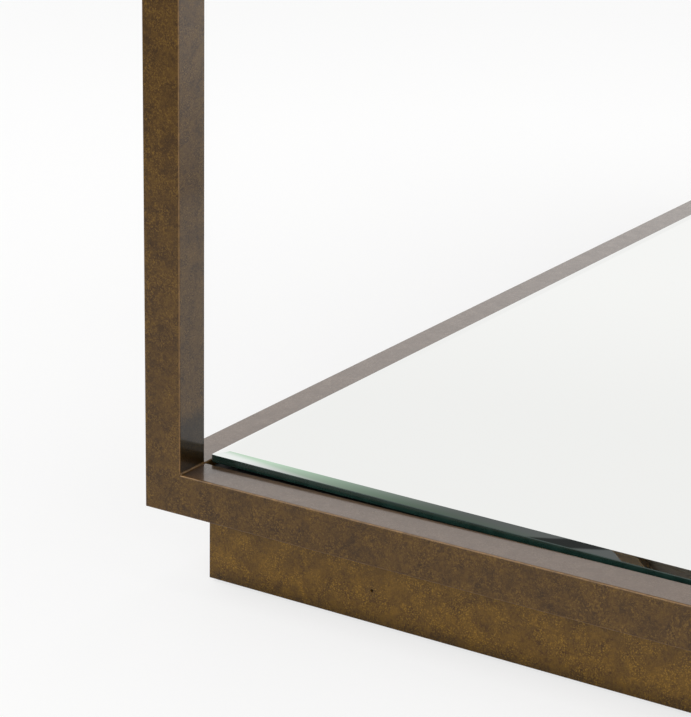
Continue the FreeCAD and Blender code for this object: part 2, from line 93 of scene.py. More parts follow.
def remap(tree, value, fromLow, fromHigh, toLow=0.0, toHigh=1.0, x=0, y=0, smooth=True):
    kind = "SMOOTHSTEP" if smooth else "LINEAR"
    node = addNode(tree, "ShaderNodeMapRange", x, y, interpolation_type=kind)
    wire(tree, value, node.inputs["Value"])
    limits = {"From Min": fromLow, "From Max": fromHigh, "To Min": toLow, "To Max": toHigh}
    for label, number in limits.items():
        node.inputs[label].default_value = number
    return node.outputs["Result"]


def noiseNode(tree, vector, scale, detail=3.0, rough=0.5, distortion=0.0, x=0, y=0):
    node = addNode(tree, "ShaderNodeTexNoise", x, y)
    wire(tree, vector, node.inputs["Vector"])
    if isinstance(scale, (int, float)):
        node.inputs["Scale"].default_value = scale
    else:
        wire(tree, scale, node.inputs["Scale"])
    node.inputs["Detail"].default_value = detail
    node.inputs["Roughness"].default_value = rough
    node.inputs["Distortion"].default_value = distortion
    return node.outputs["Fac"]


def mixColour(tree, factor, first, second, x=0, y=0):
    node = addNode(tree, "ShaderNodeMix", x, y, data_type="RGBA")
    factorSlot, firstSlot, secondSlot = (node.inputs[index] for index in (0, 6, 7))
    for socket, value in ((factorSlot, factor), (firstSlot, first), (secondSlot, second)):
        if isinstance(value, (int, float)):
            socket.default_value = value
        elif isinstance(value, tuple):
            socket.default_value = (*value, 1.0)
        else:
            wire(tree, value, socket)
    return node.outputs[2]


def ramp(tree, value, stops, x=0, y=0):
    node = addNode(tree, "ShaderNodeValToRGB", x, y)
    elements = node.color_ramp.elements
    while len(elements) < len(stops):
        elements.new(0.5)
    for element, (place, colour) in zip(elements, stops):
        element.position = place
        element.color = (*colour, 1.0)
    wire(tree, value, node.inputs[0])
    return node.outputs[0]


patinaLook = {
    "broadShare": 0.55,  # of the wide clouds in the whole clouding
    "closeTimes": 4.2,  # how many times finer the close clouding is
    "fleckFrom": 0.49,  # where the flecks' noise starts to show, and where it is full
    "fleckFull": 0.66,
    "patchScale": 95.0,  # the patches with more flecks and fewer
    "fewestFlecks": 0.25,
    "hairHalfWidth": 0.022,
    "fleckHeight": 0.6,
}


def makePatina():
    # clouded oxide, small bright flecks and hair-thin scratches of an aged metal
    tree, groupIn, groupOut = makeGroup(
        "agedPatina",
        {"Vector": None, "Cloud Scale": 60.0, "Fleck Scale": 520.0, "Hair Scale": 210.0},
        ("Cloud", "Fleck", "Hair", "Height"),
    )
    vector = groupIn.outputs["Vector"]
    scales = (groupIn.outputs[f"{what} Scale"] for what in ("Cloud", "Fleck", "Hair"))
    cloudScale, fleckScale, hairScale = scales
    broad = noiseNode(tree, vector, cloudScale, detail=5.0, rough=0.62, distortion=0.5, x=-800, y=350)
    closeScale = mathNode(tree, "MULTIPLY", cloudScale, patinaLook["closeTimes"], x=-960, y=200)
    close = noiseNode(tree, vector, closeScale, detail=3.0, rough=0.6, distortion=0.8, x=-800, y=200)
    closeShare = mathNode(tree, "MULTIPLY", close, 1.0 - patinaLook["broadShare"], x=-600, y=200)
    cloud = mathNode(tree, "MULTIPLY_ADD", broad, patinaLook["broadShare"], closeShare, -450, 250)
    fleckNoise = noiseNode(tree, vector, fleckScale, detail=3.0, rough=0.7, distortion=0.3, x=-800, y=-50)
    fleckMask = remap(tree, fleckNoise, patinaLook["fleckFrom"], patinaLook["fleckFull"], x=-560, y=-50)
    patchNoise = noiseNode(tree, vector, patinaLook["patchScale"], detail=2.0, x=-800, y=-250)
    patches = remap(tree, patchNoise, 0.35, 0.62, patinaLook["fewestFlecks"], 1.0, -560, -250)
    fleck = mathNode(tree, "MULTIPLY", fleckMask, patches, x=-330, y=-100)
    hairNoise = noiseNode(tree, vector, hairScale, detail=2.0, distortion=1.6, x=-800, y=-450)
    offMiddle = mathNode(tree, "SUBTRACT", hairNoise, 0.5, x=-560, y=-450)
    distance = mathNode(tree, "ABSOLUTE", offMiddle, x=-400, y=-450)
    hairLine = remap(tree, distance, 0.0, patinaLook["hairHalfWidth"], 1.0, 0.0, -230, -450)
    hair = mathNode(tree, "MULTIPLY", hairLine, fleckNoise, x=-40, y=-400)
    height = mathNode(tree, "MULTIPLY_ADD", fleck, patinaLook["fleckHeight"], cloud, x=150, y=-150)
    for label, value in (("Cloud", cloud), ("Fleck", fleck), ("Hair", hair), ("Height", height)):
        wire(tree, value, groupOut.inputs[label])
    return tree


def makeEdgeWearAndHighlight():
    # brighter gold on the rounded edges of square stock, partly real edge wear and partly a painted
    # highlight; there no one axis holds the whole normal, and noise breaks the line up
    tree, groupIn, groupOut = makeGroup("edgeWearAndHighlight", {"Vector": None, "Amount": 1.0}, ("Mask",))
    own = addNode(tree, "ShaderNodeTexCoord", -1000, 0)
    unsigned = addNode(tree, "ShaderNodeVectorMath", -800, 0, operation="ABSOLUTE")
    wire(tree, own.outputs["Normal"], unsigned.inputs[0])
    split = addNode(tree, "ShaderNodeSeparateXYZ", -620, 0)
    wire(tree, unsigned.outputs[0], split.inputs[0])
    across = mathNode(tree, "MAXIMUM", split.outputs["X"], split.outputs["Y"], x=-440, y=0)
    most = mathNode(tree, "MAXIMUM", across, split.outputs["Z"], x=-280, y=0)
    edge = remap(tree, most, 0.80, 0.98, 1.0, 0.0, -120, 0)
    edgeBreakupNoise = noiseNode(tree, groupIn.outputs["Vector"], 180.0, detail=4.0, rough=0.6, x=-560, y=-300)
    edgeBreakupAndTopSheen = remap(tree, edgeBreakupNoise, 0.3, 0.6, 0.35, 1.0, -340, -300)
    mask = mathNode(tree, "MULTIPLY", edge, edgeBreakupAndTopSheen, x=100, y=-60)
    amount = mathNode(tree, "MULTIPLY", mask, groupIn.outputs["Amount"], x=280, y=-60)
    wire(tree, amount, groupOut.inputs["Mask"])
    return tree


def makeGrain():
    # long wood figure along one axis with fine pores
    tree, groupIn, groupOut = makeGroup(
        "woodGrain", {"Vector": None, "Figure Scale": 14.0, "Pore Scale": 320.0}, ("Figure", "Pores"),
    )
    vector = groupIn.outputs["Vector"]
    figure = addNode(
        tree, "ShaderNodeTexWave", -700, 100, wave_type="BANDS", bands_direction="Z", wave_profile="SAW",
    )
    wire(tree, vector, figure.inputs["Vector"])
    wire(tree, groupIn.outputs["Figure Scale"], figure.inputs["Scale"])
    settings = {"Distortion": 5.5, "Detail": 3.0, "Detail Scale": 1.4, "Detail Roughness": 0.6}
    for label, value in settings.items():
        figure.inputs[label].default_value = value
    stretch = addNode(tree, "ShaderNodeVectorMath", -900, -200, operation="MULTIPLY")
    stretch.inputs[1].default_value = (0.06, 0.06, 1.0)
    wire(tree, vector, stretch.inputs[0])
    poreScale = groupIn.outputs["Pore Scale"]
    poreNoise = noiseNode(tree, stretch.outputs[0], poreScale, detail=2.0, rough=0.6, x=-700, y=-200)
    wire(tree, figure.outputs["Fac"], groupOut.inputs["Figure"])
    wire(tree, remap(tree, poreNoise, 0.55, 0.7, x=-450, y=-200), groupOut.inputs["Pores"])
    return tree


def makeSmudge():
    # faint wiping marks and dust, for glass, lacquer and clear plastic
    tree, groupIn, groupOut = makeGroup(
        "smudge", {"Vector": None, "Scale": 14.0, "Low": 0.02, "High": 0.05}, ("Roughness", "Dust"),
    )
    vector, scale, low, high = (groupIn.outputs[label] for label in ("Vector", "Scale", "Low", "High"))
    wipeNoise = noiseNode(tree, vector, scale, detail=4.0, rough=0.6, distortion=1.2, x=-700, y=100)
    wipe = remap(tree, wipeNoise, 0.4, 0.75, x=-450, y=100)
    spread = mathNode(tree, "SUBTRACT", high, low, x=-700, y=-100)
    rough = mathNode(tree, "MULTIPLY_ADD", wipe, spread, low, -200, 60)
    dustNoise = noiseNode(tree, vector, 900.0, detail=1.0, x=-700, y=-300)
    wire(tree, rough, groupOut.inputs["Roughness"])
    wire(tree, remap(tree, dustNoise, 0.70, 0.80, x=-450, y=-300), groupOut.inputs["Dust"])
    return tree


patina = makePatina()
edgeWearAndHighlight = makeEdgeWearAndHighlight()
woodGrain = makeGrain()
smudge = makeSmudge()
print("shared effects built")


def newMaterial(name, **plain):
    # plain values go straight on the shader's own sockets
    material = bpy.data.materials.new(name)
    material.use_nodes = True
    tree = material.node_tree
    shader = tree.nodes["Principled BSDF"]
    shader.location = (700, 0)
    tree.nodes["Material Output"].location = (1000, 0)
    for label, value in plain.items():
        shader.inputs[label.replace("_", " ")].default_value = value
    coordinates = addNode(tree, "ShaderNodeTexCoord", -1300, 0)
    return material, tree, shader, coordinates.outputs["Object"]


def useGroup(tree, group, vector, x, y, **values):
    node = addNode(tree, "ShaderNodeGroup", x, y, node_tree=group)
    wire(tree, vector, node.inputs["Vector"])
    for label, value in values.items():
        node.inputs[label.replace("_", " ")].default_value = value
    return node


def bumpFrom(tree, shader, height, strength, distance):
    bump = addNode(tree, "ShaderNodeBump", 450, -350)
    bump.inputs["Strength"].default_value = strength
    bump.inputs["Distance"].default_value = distance
    wire(tree, height, bump.inputs["Height"])
    wire(tree, bump.outputs["Normal"], shader.inputs["Normal"])


def dusted(tree, wiped, share, colour, dustColour):
    # specks of dust laid over a colour
    amount = mathNode(tree, "MULTIPLY", wiped.outputs["Dust"], share, x=-500, y=-60)
    return mixColour(tree, amount, colour, dustColour, -250, 130)


brassLook = {
    "dark": (0.050, 0.0230, 0.0055),
    "middle": (0.083, 0.0405, 0.0078),
    "light": (0.120, 0.0610, 0.0105),
    "fleck": (0.285, 0.155, 0.027),
    # the rounded edges: worn brass together with a painted highlight
    "wornAndHighlight": (0.47, 0.26, 0.10),
    "edgeBreakupAndTopSheen": (0.135, 0.068, 0.030),  # painted sheen: the level faces made lighter, standing in for the pale room they mirror at a low angle
    "paintedTopSheenShare": 0.72,
    "fleckShare": 0.72,
    "hairShare": 0.85,
    "unevenBy": 0.004,  # metres by which the edge of a stain wanders
}
postFootDarkening = {"share": 0.30, "top": 0.110, "fade": 0.006, "inwardOnly": True}  # darker at the foot of the posts, on their faces that look into the table
# painted shadow: the plinth darker along its lower edge, standing in for the floor's contact shadow
paintedFloorShadow = {"share": 0.42, "top": 0.0085, "fade": 0.0075, "inwardOnly": False}


def darkenBelow(tree, place, facing, cloud, colour, darkening):
    # darker metal below a height, on every face or only on those that look into the table
    split = addNode(tree, "ShaderNodeSeparateXYZ", -1000, -600)
    wire(tree, place, split.inputs[0])
    uneven = mathNode(tree, "MULTIPLY_ADD", cloud, brassLook["unevenBy"], split.outputs["Z"], -800, -600)
    top, fade = darkening["top"], darkening["fade"]
    band = remap(tree, uneven, top - fade, top + fade, 1.0, 0.0, -600, -600)
    if darkening["inwardOnly"]:
        outward = addNode(tree, "ShaderNodeVectorMath", -1000, -950, operation="MULTIPLY")
        outward.inputs[1].default_value = (1.0, 1.0, 0.0)
        wire(tree, place, outward.inputs[0])
        turned = addNode(tree, "ShaderNodeVectorMath", -800, -760, operation="DOT_PRODUCT")
        wire(tree, facing, turned.inputs[0])
        wire(tree, outward.outputs[0], turned.inputs[1])
        inward = remap(tree, turned.outputs["Value"], -0.15, -0.05, 1.0, 0.0, -600, -760)
        band = mathNode(tree, "MULTIPLY", inward, band, x=-400, y=-680)
    shade = mathNode(tree, "MULTIPLY_ADD", band, darkening["share"] - 1.0, 1.0, -200, -680)
    scaled = addNode(tree, "ShaderNodeVectorMath", 200, 60, operation="SCALE")
    wire(tree, colour, scaled.inputs[0])
    wire(tree, shade, scaled.inputs["Scale"])
    return scaled.outputs[0]


def makeAgedBrass(name, warmth, darkening=None):
    material, tree, shader, place = newMaterial(
        name, Metallic=0.35, Specular_IOR_Level=0.25, Coat_Weight=1.0, Coat_Roughness=0.12, Coat_IOR=1.61,
    )
    look = useGroup(tree, patina, place, -1000, 100, Cloud_Scale=80.0, Fleck_Scale=1050.0, Hair_Scale=380.0)
    cloud, fleck, hair, height = (look.outputs[label] for label in ("Cloud", "Fleck", "Hair", "Height"))
    wearAndHighlight = useGroup(tree, edgeWearAndHighlight, place, -1000, -300, Amount=0.5)
    dark, middle, light, fleckTone = (
        tuple(c * w for c, w in zip(brassLook[key], warmth)) for key in ("dark", "middle", "light", "fleck")
    )
    colour = ramp(tree, cloud, [(0.38, dark), (0.5, middle), (0.62, light)], -700, 200)
    flecked = mathNode(tree, "MULTIPLY", fleck, brassLook["fleckShare"], x=-700, y=0)
    colour = mixColour(tree, flecked, colour, fleckTone, -400, 150)
    hairs = mathNode(tree, "MULTIPLY", hair, brassLook["hairShare"], x=-700, y=-120)
    colour = mixColour(tree, hairs, colour, brassLook["fleck"], -200, 120)
    # painted highlight along the rounded edges, together with real edge wear
    colour = mixColour(tree, wearAndHighlight.outputs["Mask"], colour, brassLook["wornAndHighlight"], 0, 100)
    geometry = addNode(tree, "ShaderNodeNewGeometry", -1000, -800)
    # painted sheen: faces that look straight up are mixed towards a lighter colour, in place of their
    # reflection
    upward = addNode(tree, "ShaderNodeSeparateXYZ", -800, 400)
    wire(tree, geometry.outputs["Normal"], upward.inputs[0])
    edgeBreakupAndTopSheen = remap(tree, upward.outputs["Z"], 0.90, 0.99, 0.0, brassLook["paintedTopSheenShare"], -600, 400)
    colour = mixColour(tree, edgeBreakupAndTopSheen, colour, brassLook["edgeBreakupAndTopSheen"], 100, 250)
    # darker below a height: used for the plinth's painted floor shadow and for the darker foot of the posts
    if darkening:
        colour = darkenBelow(tree, place, geometry.outputs["Normal"], cloud, colour, darkening)
    wire(tree, colour, shader.inputs["Base Color"])
    rough = remap(tree, cloud, 0.3, 0.7, 0.52, 0.38, -400, -100)
    rough = mathNode(tree, "MULTIPLY_ADD", fleck, -0.12, rough, -150, -120)
    wire(tree, rough, shader.inputs["Roughness"])
    bumpFrom(tree, shader, height, 0.10, 0.4 * mm)
    return material


lacquerLook = {"deep": (0.36, 0.22, 0.085), "bright": (0.62, 0.40, 0.17), "hair": (0.75, 0.55, 0.30)}


def makePolishedBrass():
    material, tree, shader, place = newMaterial(
        "lacqueredBrass", Metallic=1.0, Coat_Weight=0.4, Coat_Roughness=0.08,
    )
    scales = {"Cloud_Scale": 180.0, "Fleck_Scale": 1500.0, "Hair_Scale": 500.0}
    look = useGroup(tree, patina, place, -1000, 100, **scales)
    cloud = look.outputs["Cloud"]
    colour = ramp(tree, cloud, [(0.3, lacquerLook["deep"]), (0.65, lacquerLook["bright"])], -700, 200)
    colour = mixColour(tree, look.outputs["Hair"], colour, lacquerLook["hair"], -300, 150)
    wire(tree, colour, shader.inputs["Base Color"])
    wire(tree, remap(tree, cloud, 0.3, 0.7, 0.32, 0.2, -300, -100), shader.inputs["Roughness"])
    bumpFrom(tree, shader, look.outputs["Height"], 0.12, 0.1 * mm)
    return material


glassLook = {
    "silver": (0.955, 0.96, 0.945),
    "dust": (0.72, 0.71, 0.68),
    "dustShare": 0.10,
    "edgeDark": (0.009, 0.026, 0.021),
    "edgeLight": (0.015, 0.042, 0.034),
}
bevelTints = [  # how far the bevel turns away from the eye, and the colour of the glass at that angle
    (0.0, (0.78, 0.87, 0.81)), (0.470, (0.64, 0.70, 0.68)), (0.495, (0.50, 0.69, 0.53)),
    (0.508, (0.53, 0.70, 0.55)), (0.518, (0.86, 0.89, 0.87)), (0.73, glassLook["silver"]),
]


def silverWith(name, low, high, tintOf):
    # silvered glass between two roughnesses; tintOf gives the colour of its silver
    material, tree, shader, place = newMaterial(name, Metallic=1.0)
    wiped = useGroup(tree, smudge, place, -900, -200, Scale=9.0, Low=low, High=high)
    colour = dusted(tree, wiped, glassLook["dustShare"], tintOf(tree), glassLook["dust"])
    wire(tree, colour, shader.inputs["Base Color"])
    wire(tree, wiped.outputs["Roughness"], shader.inputs["Roughness"])
    return material


def bevelTint(tree):
    # a bevel bends light as a prism does: green within a narrow range of angles, and clear at a low angle
    angle = addNode(tree, "ShaderNodeLayerWeight", -900, 150)
    angle.inputs["Blend"].default_value = 0.5
    return ramp(tree, angle.outputs["Facing"], bevelTints, -600, 150)


def makeGlassEdge():
    # the ground edge: deep bottle green, seen through the thickness of the glass
    material, tree, shader, place = newMaterial(
        "groundGlassEdge", Metallic=0.0, Coat_Weight=0.6, Coat_Roughness=0.06,
    )
    ground = noiseNode(tree, place, 90.0, detail=2.0, distortion=0.4, x=-900, y=100)
    colour = ramp(tree, ground, [(0.3, glassLook["edgeDark"]), (0.7, glassLook["edgeLight"])], -600, 100)
    wire(tree, colour, shader.inputs["Base Color"])
    wire(tree, remap(tree, ground, 0.3, 0.7, 0.14, 0.26, -600, -100), shader.inputs["Roughness"])
    bumpFrom(tree, shader, ground, 0.03, 0.2 * mm)
    return material


paints = {
    "mirrorBackPaint": {
        "colour": (0.30, 0.31, 0.32), "spread": 0.12, "rough": 0.5, "peel": 0.15, "coat": 0.0,
    },
    "blackBoard": {
        "colour": (0.022, 0.021, 0.020), "spread": 0.3, "rough": 0.6, "peel": 0.4, "coat": 0.0,
    },
    "bronzeLacquer": {
        "colour": (0.085, 0.055, 0.032), "spread": 0.16, "rough": 0.26, "peel": 0.10, "coat": 0.5,
    },
    "ledgeBronze": {
        "colour": (0.10, 0.062, 0.034), "spread": 0.2, "rough": 0.36, "peel": 0.2, "coat": 0.3,
    },
}


def makePaint(name, look):
    # flat or satin paint with a little unevenness and orange peel
    material, tree, shader, place = newMaterial(
        name, Metallic=0.0, Coat_Weight=look["coat"], Coat_Roughness=0.2,
    )
    rough = look["rough"]
    wiped = useGroup(tree, smudge, place, -900, -150, Scale=30.0, Low=rough, High=rough + 0.12)
    cloud = noiseNode(tree, place, 38.0, detail=5.0, rough=0.6, distortion=0.3, x=-900, y=150)
    spread = look["spread"]
    darker, lighter = (tuple(c * (1.0 + change) for c in look["colour"]) for change in (-spread, spread))
    toned = ramp(tree, cloud, [(0.35, darker), (0.65, lighter)], -600, 150)
    wire(tree, dusted(tree, wiped, 0.2, toned, (0.5, 0.48, 0.45)), shader.inputs["Base Color"])
    wire(tree, wiped.outputs["Roughness"], shader.inputs["Roughness"])
    peel = noiseNode(tree, place, 700.0, detail=2.0, x=-600, y=-380)
    bumpFrom(tree, shader, peel, look["peel"], 0.2 * mm)
    return material


woodLook = {"dark": (0.17, 0.085, 0.040), "light": (0.30, 0.165, 0.080), "rough": 0.38, "pore": 0.45}


def makeWood():
    coat = {"Coat_Weight": 0.25, "Coat_Roughness": 0.25}
    material, tree, shader, place = newMaterial("drawerWood", Metallic=0.0, **coat)
    grain = useGroup(tree, woodGrain, place, -900, 50, Figure_Scale=16.0, Pore_Scale=360.0)
    figure, pores = grain.outputs["Figure"], grain.outputs["Pores"]
    dark, light, rough = woodLook["dark"], woodLook["light"], woodLook["rough"]
    toned = ramp(tree, figure, [(0.05, dark), (0.6, light), (0.95, dark)], -600, 150)
    poreShare = mathNode(tree, "MULTIPLY", pores, 0.55, x=-600, y=-60)
    poreTone = tuple(c * woodLook["pore"] for c in dark)
    wire(tree, mixColour(tree, poreShare, toned, poreTone, -250, 120), shader.inputs["Base Color"])
    wire(tree, remap(tree, figure, 0.0, 1.0, rough, rough + 0.12, -250, -60), shader.inputs["Roughness"])
    bumpFrom(tree, shader, pores, -0.25, 0.3 * mm)
    return material


zincLook = {"dull": (0.46, 0.47, 0.48), "bright": (0.66, 0.67, 0.68), "spangleScale": 240.0}


def makePlatedSteel():
    material, tree, shader, place = newMaterial("zincPlate", Metallic=1.0)
    spangle = addNode(tree, "ShaderNodeTexVoronoi", -900, 100, feature="F1")
    wire(tree, place, spangle.inputs["Vector"])
    spangle.inputs["Scale"].default_value = zincLook["spangleScale"]
    shade = addNode(tree, "ShaderNodeRGBToBW", -700, 100)
    wire(tree, spangle.outputs["Color"], shade.inputs[0])
    tone = shade.outputs[0]
    colour = ramp(tree, tone, [(0.2, zincLook["dull"]), (0.8, zincLook["bright"])], -500, 120)
    wire(tree, colour, shader.inputs["Base Color"])
    wire(tree, remap(tree, tone, 0.1, 0.9, 0.28, 0.42, -500, -120), shader.inputs["Roughness"])
    bumpFrom(tree, shader, tone, 0.05, 0.1 * mm)
    return material


felts = {
    "footFelt": {"dark": (0.020, 0.017, 0.015), "light": (0.060, 0.052, 0.046)},
    "linerFelt": {"dark": (0.030, 0.022, 0.026), "light": (0.075, 0.056, 0.064)},
}


def makeFelt(name, look):
    # short pressed fibres
    material, tree, shader, place = newMaterial(
        name, Metallic=0.0, Roughness=0.95, Sheen_Weight=0.35, Sheen_Roughness=0.5,
    )
    fibre = noiseNode(tree, place, 1400.0, detail=3.0, rough=0.7, distortion=2.0, x=-900, y=100)
    colour = ramp(tree, fibre, [(0.3, look["dark"]), (0.7, look["light"])], -600, 120)
    wire(tree, colour, shader.inputs["Base Color"])
    bumpFrom(tree, shader, fibre, 0.7, 0.5 * mm)
    return material


bumperLook = {"clear": (0.72, 0.74, 0.73), "dust": (0.6, 0.6, 0.58)}


def makeBumper():
    clear = {"Transmission_Weight": 0.6, "IOR": 1.45}
    material, tree, shader, place = newMaterial("clearBumper", Metallic=0.0, **clear)
    wiped = useGroup(tree, smudge, place, -900, 0, Scale=60.0, Low=0.18, High=0.34)
    colour = mixColour(tree, wiped.outputs["Dust"], bumperLook["clear"], bumperLook["dust"], -300, 100)
    wire(tree, colour, shader.inputs["Base Color"])
    wire(tree, wiped.outputs["Roughness"], shader.inputs["Roughness"])
    return material


agedBrass = makeAgedBrass("agedBrass", (1.02, 1.0, 0.95))
postBrass = makeAgedBrass("postBrass", (1.02, 1.0, 0.95), postFootDarkening)
# the plinth's brass carries a painted contact shadow along its foot
plinthBrass = makeAgedBrass("plinthBrass", (1.85, 1.83, 0.95), paintedFloorShadow)
lacqueredBrass = makePolishedBrass()
silvered = silverWith("silveredGlass", 0.008, 0.02, lambda tree: glassLook["silver"])
bevelSilvered = silverWith("bevelledGlass", 0.015, 0.03, bevelTint)
glassEdge = makeGlassEdge()
backPaint, boardBlack, bronzeLacquer, ledgeBronze = (makePaint(name, look) for name, look in paints.items())
drawerWood = makeWood()
zincPlate = makePlatedSteel()
footFelt, linerFelt = (makeFelt(name, look) for name, look in felts.items())
clearBumper = makeBumper()
print("materials built")

slotLook = {
    "antique_brass": agedBrass, "polished_brass": lacqueredBrass, "mirror": silvered,
    "backing_board": boardBlack, "bronze_lacquer": bronzeLacquer, "drawer_wood": drawerWood,
    "slide_steel": zincPlate, "ledge_steel": ledgeBronze, "clear_bumper": clearBumper, "felt": footFelt,
}
ownLook = {"post": postBrass, "plinth": plinthBrass}  # by the first word of a CAD node's name


def dressNodes():
    for part in frame["record"]["subparts"]:
        node = part["node"]
        material = ownLook.get(node.split("_")[0], slotLook[part["material_slot"]])
        data = nodes[node].data
        data.materials.clear()
        data.materials.append(material)


dressNodes()


def corners(node):
    return [Vector(corner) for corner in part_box(node)]


def makePiece(name, mesh, materials, body, replaced=()):
    piece = bpy.data.objects.new(name, mesh)
    scene.collection.objects.link(piece)
    for material in materials:
        mesh.materials.append(material)
    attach(piece, body)
    if replaced:
        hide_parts(*replaced)


def meshFrom(name, build, smoothAngle):
    work = bmesh.new()
    build(work)
    bmesh.ops.recalc_face_normals(work, faces=work.faces)
    mesh = bpy.data.meshes.new(name)
    work.to_mesh(mesh)
    work.free()
    mesh.shade_smooth()
    mesh.set_sharp_from_angle(angle=math.radians(smoothAngle))
    return mesh


def roundedOutline(halfU, halfV, radius, steps):
    # corner by corner, so that outlines of one step count can be bridged point to point
    points = []
    for index, (su, sv) in enumerate(((1, 1), (-1, 1), (-1, -1), (1, -1))):
        cu, cv = su * (halfU - radius), sv * (halfV - radius)
        for step in range(steps + 1):
            angle = math.radians(90 * index + 90 * step / steps)
            points.append((cu + radius * math.cos(angle), cv + radius * math.sin(angle)))
    return points


def roundTurn(count, reachAt):
    # points once round, at the distance that reachAt gives for each angle
    angles = [2 * math.pi * k / count for k in range(count)]
    return [(reachAt(angle) * math.cos(angle), reachAt(angle) * math.sin(angle)) for angle in angles]


def ringAt(work, matrix, outline, height):
    return [work.verts.new(matrix @ Vector((u, v, height))) for u, v in outline]


def bridge(work, rings, materialOf=lambda index: 0, capFirst=0, capLast=0):
    # rings are lists of verts of equal length
    count = len(rings[0])
    for index, (lower, upper) in enumerate(zip(rings, rings[1:])):
        for k in range(count):
            after = (k + 1) % count
            face = work.faces.new((lower[k], lower[after], upper[after], upper[k]))
            face.material_index = materialOf(index)
    work.faces.new(rings[0]).material_index = capFirst
    work.faces.new(rings[-1]).material_index = capLast


def lathe(work, profile, matrix, segments):
    # profile: (radius, height) pairs from one end to the other, spun about local Z
    rings = []
    for radius, height in profile:
        rings.append(ringAt(work, matrix, roundTurn(segments, lambda angle: radius), height))
    bridge(work, rings)


mirrorGlass = {
    "cornerRadius": 1.6 * mm,
    "faceCorner": 0.2 * mm,  # of the flat face inside the bevel
    "arris": 0.35 * mm,  # the small chamfer that takes the sharpness off the edge
    "cornerSteps": 5,
}
bevelledMirrors = {
    # name of the piece: CAD node, body, the bevel's width and fall, where the face looks
    "shelfMirror": ("shelf_mirror", "table", 8 * mm, 1.4 * mm, "up"),
    "topMirror": ("top_mirror", "table", 8 * mm, 1.4 * mm, "up"),
    "tiltingMirror": ("mirror_glass", "mirror", 14 * mm, 1.4 * mm, "front"),
    "drawerFace_left": ("drawer_left_mirror_face", "drawer_left", 10 * mm, 1.2 * mm, "front"),
    "drawerFace_right": ("drawer_right_mirror_face", "drawer_right", 10 * mm, 1.2 * mm, "front"),
}
mirrorSeats = {
    # the shelf's glass has settled: it sits a little lower at the front, and a little askew
    "shelfMirror": {"leanDegrees": 0.6, "turnDegrees": -0.12, "sink": 1.0 * mm},
}
faceLook, bevelLook, edgeLook, backLook = range(4)


def seatOf(name):
    if name not in mirrorSeats:
        return Matrix.Identity(4)
    seat = mirrorSeats[name]
    turned = Matrix.Rotation(math.radians(seat["turnDegrees"]), 4, "Z")
    leant = Matrix.Rotation(math.radians(seat["leanDegrees"]), 4, "X")
    return Matrix.Translation((0, 0, -seat["sink"])) @ turned @ leant


def makeBevelledMirror(name, node, body, bevel, drop, facing):
    # facing "up": the face looks to +Z; facing "front": it looks to -Y
    low, high = corners(node)
    middle = (low + high) / 2
    size = high - low
    if facing == "up":
        halfU, halfV, thick = size.x / 2, size.y / 2, size.z
        place = Matrix.Translation((middle.x, middle.y, low.z))
    else:
        halfU, halfV, thick = size.x / 2, size.z / 2, size.y
        place = Matrix.Translation((middle.x, high.y, middle.z)) @ Matrix.Rotation(math.radians(90), 4, "X")
    place = place @ seatOf(name)
    arris, radius, faceCorner = (mirrorGlass[key] for key in ("arris", "cornerRadius", "faceCorner"))
    levels = [  # inset, height and corner radius, from the back of the glass to its face
        (arris, 0.0, radius),
        (0.0, arris, radius),
        (0.0, thick - drop - arris, radius),
        (arris * 0.8, thick - drop, radius * 0.9),
        (bevel * 0.985, thick - 0.02 * drop, faceCorner * 1.25),  # the bevel's upper arris is eased
        (bevel, thick, faceCorner),
    ]
    bandLooks = (edgeLook, edgeLook, edgeLook, bevelLook, bevelLook)

    def build(work):
        rings = []
        for inset, height, corner in levels:
            outline = roundedOutline(halfU - inset, halfV - inset, corner, mirrorGlass["cornerSteps"])
            rings.append(ringAt(work, place, outline, height))
        bridge(work, rings, lambda index: bandLooks[index], backLook, faceLook)

    materials = (silvered, bevelSilvered, glassEdge, backPaint)
    makePiece(name, meshFrom(name, build, 3.0), materials, body, (node,))


for pieceName, panel in bevelledMirrors.items():
    makeBevelledMirror(pieceName, *panel)
print("mirrors built")

weldBead = {
    "leg": 1.3 * mm,
    "steps": 4,
    "setIn": 0.6 * mm,
    "ripple": 0.12 * mm,
    "rippleScale": 700.0,
    "rows": 14,
    # on the rail's upper face, or its lower one; the drawer case closes the other corners
    "faces": {"base_rail": 1, "apron_rail": -1},
}


def addWeldBead(work, start, end, outA, outB):
    # a small concave fillet along start-end, between two faces whose outward directions are outA and outB
    leg, steps, rows = (weldBead[key] for key in ("leg", "steps", "rows"))
    rings = []
    for row in range(rows + 1):
        along = start.lerp(end, row / rows)
        swell = 1.0 + weldBead["ripple"] / leg * noise.noise(along * weldBead["rippleScale"])
        ring = [work.verts.new(along)]
        for step in range(steps + 1):
            angle = math.radians(90 * step / steps)
            a, b = leg * (1 - math.sin(angle)), leg * (1 - math.cos(angle))
            ring.append(work.verts.new(along + (outA * a + outB * b) * swell))
        rings.append(ring)
    bridge(work, rings)


def makeWelds():
    # beads where the rails' faces meet the inner faces of the posts
    def build(work):
        setIn = weldBead["setIn"]
        for name in nodes:
            up = weldBead["faces"].get(name.rpartition("_")[0])
            if up is None:
                continue
            low, high = corners(name)
            z = high.z if up == 1 else low.z
            upward = Vector((0, 0, up))
            if name.endswith(("front", "back")):
                for x, out in ((low.x, 1), (high.x, -1)):
                    start, stop = Vector((x, low.y + setIn, z)), Vector((x, high.y - setIn, z))
                    addWeldBead(work, start, stop, Vector((out, 0, 0)), upward)
            else:
                for y, out in ((low.y, 1), (high.y, -1)):
                    start, stop = Vector((low.x + setIn, y, z)), Vector((high.x - setIn, y, z))
                    addWeldBead(work, start, stop, Vector((0, out, 0)), upward)

    makePiece("weldBeads", meshFrom("weldBeads", build, 60.0), (agedBrass,), "table")


tackWeld = {
    "size": Vector((3.4, 9.0, 2.0)) * mm,
    "fromPost": 14 * mm,
    "drop": 1.6 * mm,
    "lump": 0.25,
    "lumpScale": 2.2,
}


